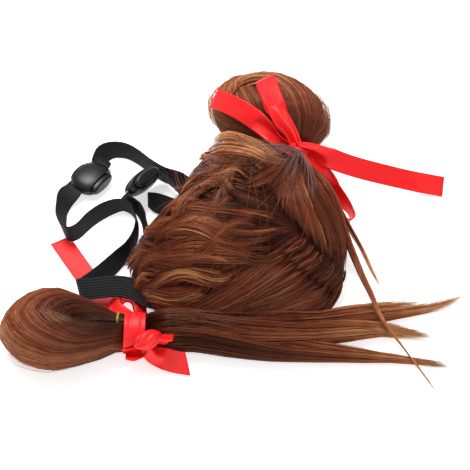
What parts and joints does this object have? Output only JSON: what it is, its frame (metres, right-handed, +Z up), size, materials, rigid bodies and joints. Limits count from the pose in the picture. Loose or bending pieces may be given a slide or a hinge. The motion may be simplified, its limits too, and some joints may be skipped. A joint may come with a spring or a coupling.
{
  "type": "dog wig",
  "caption": "Brown combed dog wig on an open net cap, lying down, with looped hair bunches tied in red satin bows and black elastic chin straps with spring cord locks.",
  "frame": {"origin": "middle of the whole outline, on the surface that the wig lies on", "axes": "+X along the long side, from the near bunch to its free hair ends; +Y from the near bunch to the far bunch; +Z up from the open side of the cap"},
  "size_m": [0.252, 0.2118, 0.0629],
  "materials": {
    "hair": "glossy combed fibre",
    "net": "matt knitted net",
    "ribbon": "satin weave",
    "elastic": "matt ribbed weave",
    "plastic": "satin moulded",
    "hair_elastic": "covered thread"
  },
  "bodies": {
    "wig": {"cap": "net", "hair_far": "hair", "hair_front": "hair", "hair_near": "hair", "bun_far": "hair", "bun_near": "hair", "tail_near": "hair", "tail_far": "hair", "hair_elastic_near": "hair_elastic", "bow_far_wrap": "ribbon", "bow_far_knot": "ribbon", "bow_far_loop_upper": "ribbon", "bow_far_loop_lower": "ribbon", "bow_far_tail_left": "ribbon", "bow_far_tail_right": "ribbon", "bow_near_wrap": "ribbon", "bow_near_knot": "ribbon", "bow_near_loop_back": "ribbon", "bow_near_tail_low": "ribbon", "bow_near_tail_long": "ribbon", "chin_strap": "elastic", "side_strap": "elastic", "strap_end": "elastic", "lock_1_body": "plastic", "lock_2_body": "plastic"},
    "button_1": {"lock_1_button": "plastic"},
    "button_2": {"lock_2_button": "plastic"}
  },
  "joints": [
    {"name": "lock_1_press", "type": "slide", "parent": "wig", "child": "button_1", "axis": [-0.8168, 0.5769, 0], "range_m": [0, 0.0025], "stiffness_N_per_m": 300, "springref_m": -0.003},
    {"name": "lock_2_press", "type": "slide", "parent": "wig", "child": "button_2", "axis": [-0.3851, 0.3591, -0.8502], "range_m": [0, 0.0025], "stiffness_N_per_m": 300, "springref_m": -0.003}
  ]
}
